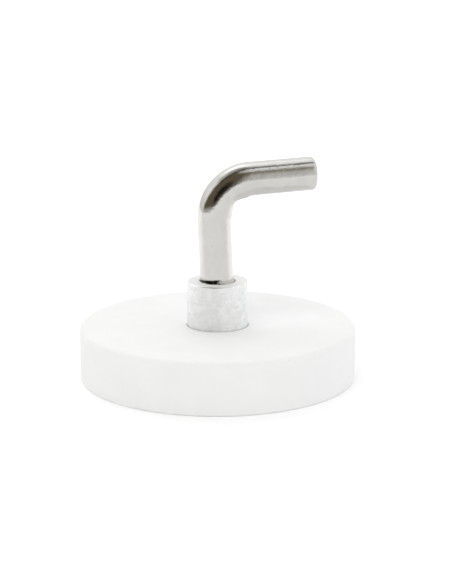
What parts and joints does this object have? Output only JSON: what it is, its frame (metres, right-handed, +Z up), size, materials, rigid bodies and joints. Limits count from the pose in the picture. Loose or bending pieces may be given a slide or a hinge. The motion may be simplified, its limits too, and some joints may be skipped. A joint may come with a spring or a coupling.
{
  "type": "rubber-coated disc magnet with angled hook",
  "caption": "Low round magnet in a white rubber coat, with a threaded bush at its centre and a screw-in right-angle hook.",
  "frame": {"origin": "centre of the disc's flat underside", "axes": "+Z up along the thread's axis, +X along the hook's arm when the hook is screwed tight"},
  "size_m": [0.031, 0.031, 0.0247],
  "materials": {
    "rubber_coat": "matte",
    "yoke_steel": "zinc-plated, satin",
    "magnet_nickel": "nickel-plated, bright",
    "bush_zinc": "turned and zinc-plated, satin",
    "hook_nickel": "nickel-plated, bright"
  },
  "bodies": {
    "magnet_base": {"rubber_jacket": "rubber_coat", "steel_yoke": "yoke_steel", "magnet_1": "magnet_nickel", "magnet_2": "magnet_nickel", "magnet_3": "magnet_nickel", "magnet_4": "magnet_nickel", "magnet_5": "magnet_nickel", "magnet_6": "magnet_nickel", "threaded_bush": "bush_zinc"},
    "hook": {"hook": "hook_nickel"}
  },
  "joints": [
    {"name": "hook_screw", "type": "hinge", "parent": "magnet_base", "child": "hook", "pos_m": [0, 0, 0], "axis": [0, 0, 1], "range_deg": [0, 2700]}
  ]
}
